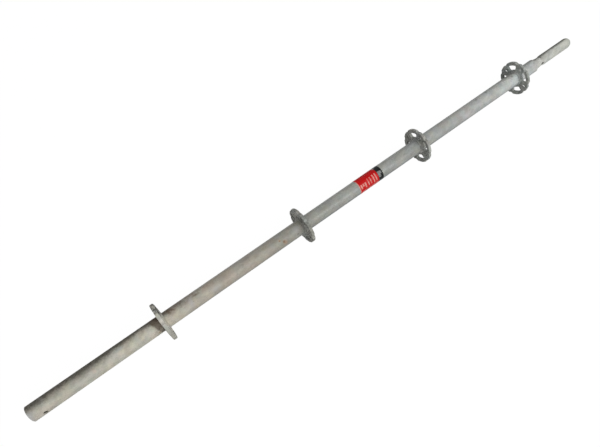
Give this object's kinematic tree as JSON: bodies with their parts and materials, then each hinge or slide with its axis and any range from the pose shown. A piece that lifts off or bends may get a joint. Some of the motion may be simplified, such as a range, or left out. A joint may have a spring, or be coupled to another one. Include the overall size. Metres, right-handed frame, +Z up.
{
  "type": "ring lock scaffold standard",
  "caption": "Round scaffold post with slotted ring plates welded along it, an open socket at one end and a necked, cross-drilled spigot at the other.",
  "frame": {"origin": "centre of the tube's bore at the socket end, on the post's axis", "axes": "+X along the post from the socket end to the spigot, +Z up as the post lies on the flat lobes of its rosettes, +Y across"},
  "size_m": [2.205, 0.1208, 0.1208],
  "materials": {
    "galvanised_tube": "weathered hot-dip galvanised",
    "galvanised_spigot": "weathered hot-dip galvanised",
    "galvanised_rosette": "darker weathered hot-dip galvanised",
    "weld": "galvanised weld bead",
    "label": "semi-gloss film with a black end band"
  },
  "bodies": {
    "root": {"tube": "galvanised_tube", "spigot": "galvanised_spigot", "rosette_1": "galvanised_rosette", "rosette_2": "galvanised_rosette", "rosette_3": "galvanised_rosette", "rosette_4": "galvanised_rosette", "weld_lower_1": "weld", "weld_lower_2": "weld", "weld_lower_3": "weld", "weld_lower_4": "weld", "weld_upper_1": "weld", "weld_upper_2": "weld", "weld_upper_3": "weld", "weld_upper_4": "weld", "label": "label"}
  },
  "joints": []
}
